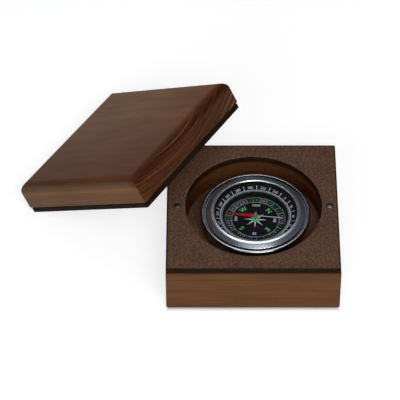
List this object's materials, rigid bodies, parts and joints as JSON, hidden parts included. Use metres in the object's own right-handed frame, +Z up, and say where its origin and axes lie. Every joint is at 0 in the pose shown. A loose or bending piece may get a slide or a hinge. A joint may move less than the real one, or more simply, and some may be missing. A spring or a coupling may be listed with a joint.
{
  "type": "qibla compass",
  "caption": "Hand compass with a swinging needle, loose in the round recess of a square wooden box faced with leather; a magnetic lift-off lid leans on the base.",
  "frame": {"origin": "middle of the base's underside", "axes": "+Z up, +X to the right and -Y to the front, square to the base's sides"},
  "size_m": [0.1875, 0.164, 0.0663],
  "materials": {
    "box_wood": "satin lacquered walnut tone",
    "lid_wood": "satin lacquered dark walnut tone",
    "box_leather": "pebbled dark brown",
    "magnet_metal": "nickel plated",
    "case_metal": "turned and polished",
    "bezel_chrome": "polished",
    "lens_clear": "clear",
    "gasket_rubber": "matt black",
    "carrier_black": "matt black",
    "scale_print": "printed card",
    "dial_print": "printed card",
    "pin_steel": "hardened point",
    "needle_paint": "red and white paint",
    "cap_brass": "polished",
    "jewel_glass": "polished stone"
  },
  "bodies": {
    "base": {"base_block": "box_wood", "base_leather": "box_leather", "recess_lining": "box_leather", "base_magnet_left": "magnet_metal", "base_magnet_right": "magnet_metal"},
    "compass": {"compass_case": "case_metal", "compass_bezel": "bezel_chrome", "compass_lens": "lens_clear", "lens_gasket": "gasket_rubber", "dial_carrier": "carrier_black", "bearing_scale": "scale_print", "dial_card": "dial_print", "pivot_pin": "pin_steel"},
    "needle": {"needle_blade": "needle_paint", "needle_cap": "cap_brass", "needle_jewel": "jewel_glass"},
    "lid": {"lid_block": "lid_wood", "lid_leather": "box_leather", "lid_magnet_left": "magnet_metal", "lid_magnet_right": "magnet_metal"}
  },
  "joints": [
    {"name": "compass_lift", "type": "slide", "parent": "base", "child": "compass", "axis": [0, 0, 1], "range_m": [0, 0.03]},
    {"name": "needle_swing", "type": "hinge", "parent": "compass", "child": "needle", "pos_m": [0.0018, 0, 0.026], "axis": [0, 0, 1], "continuous": true},
    {"name": "lid_lift", "type": "slide", "parent": "base", "child": "lid", "axis": [0, 0, 1], "range_m": [0, 0.06]}
  ]
}
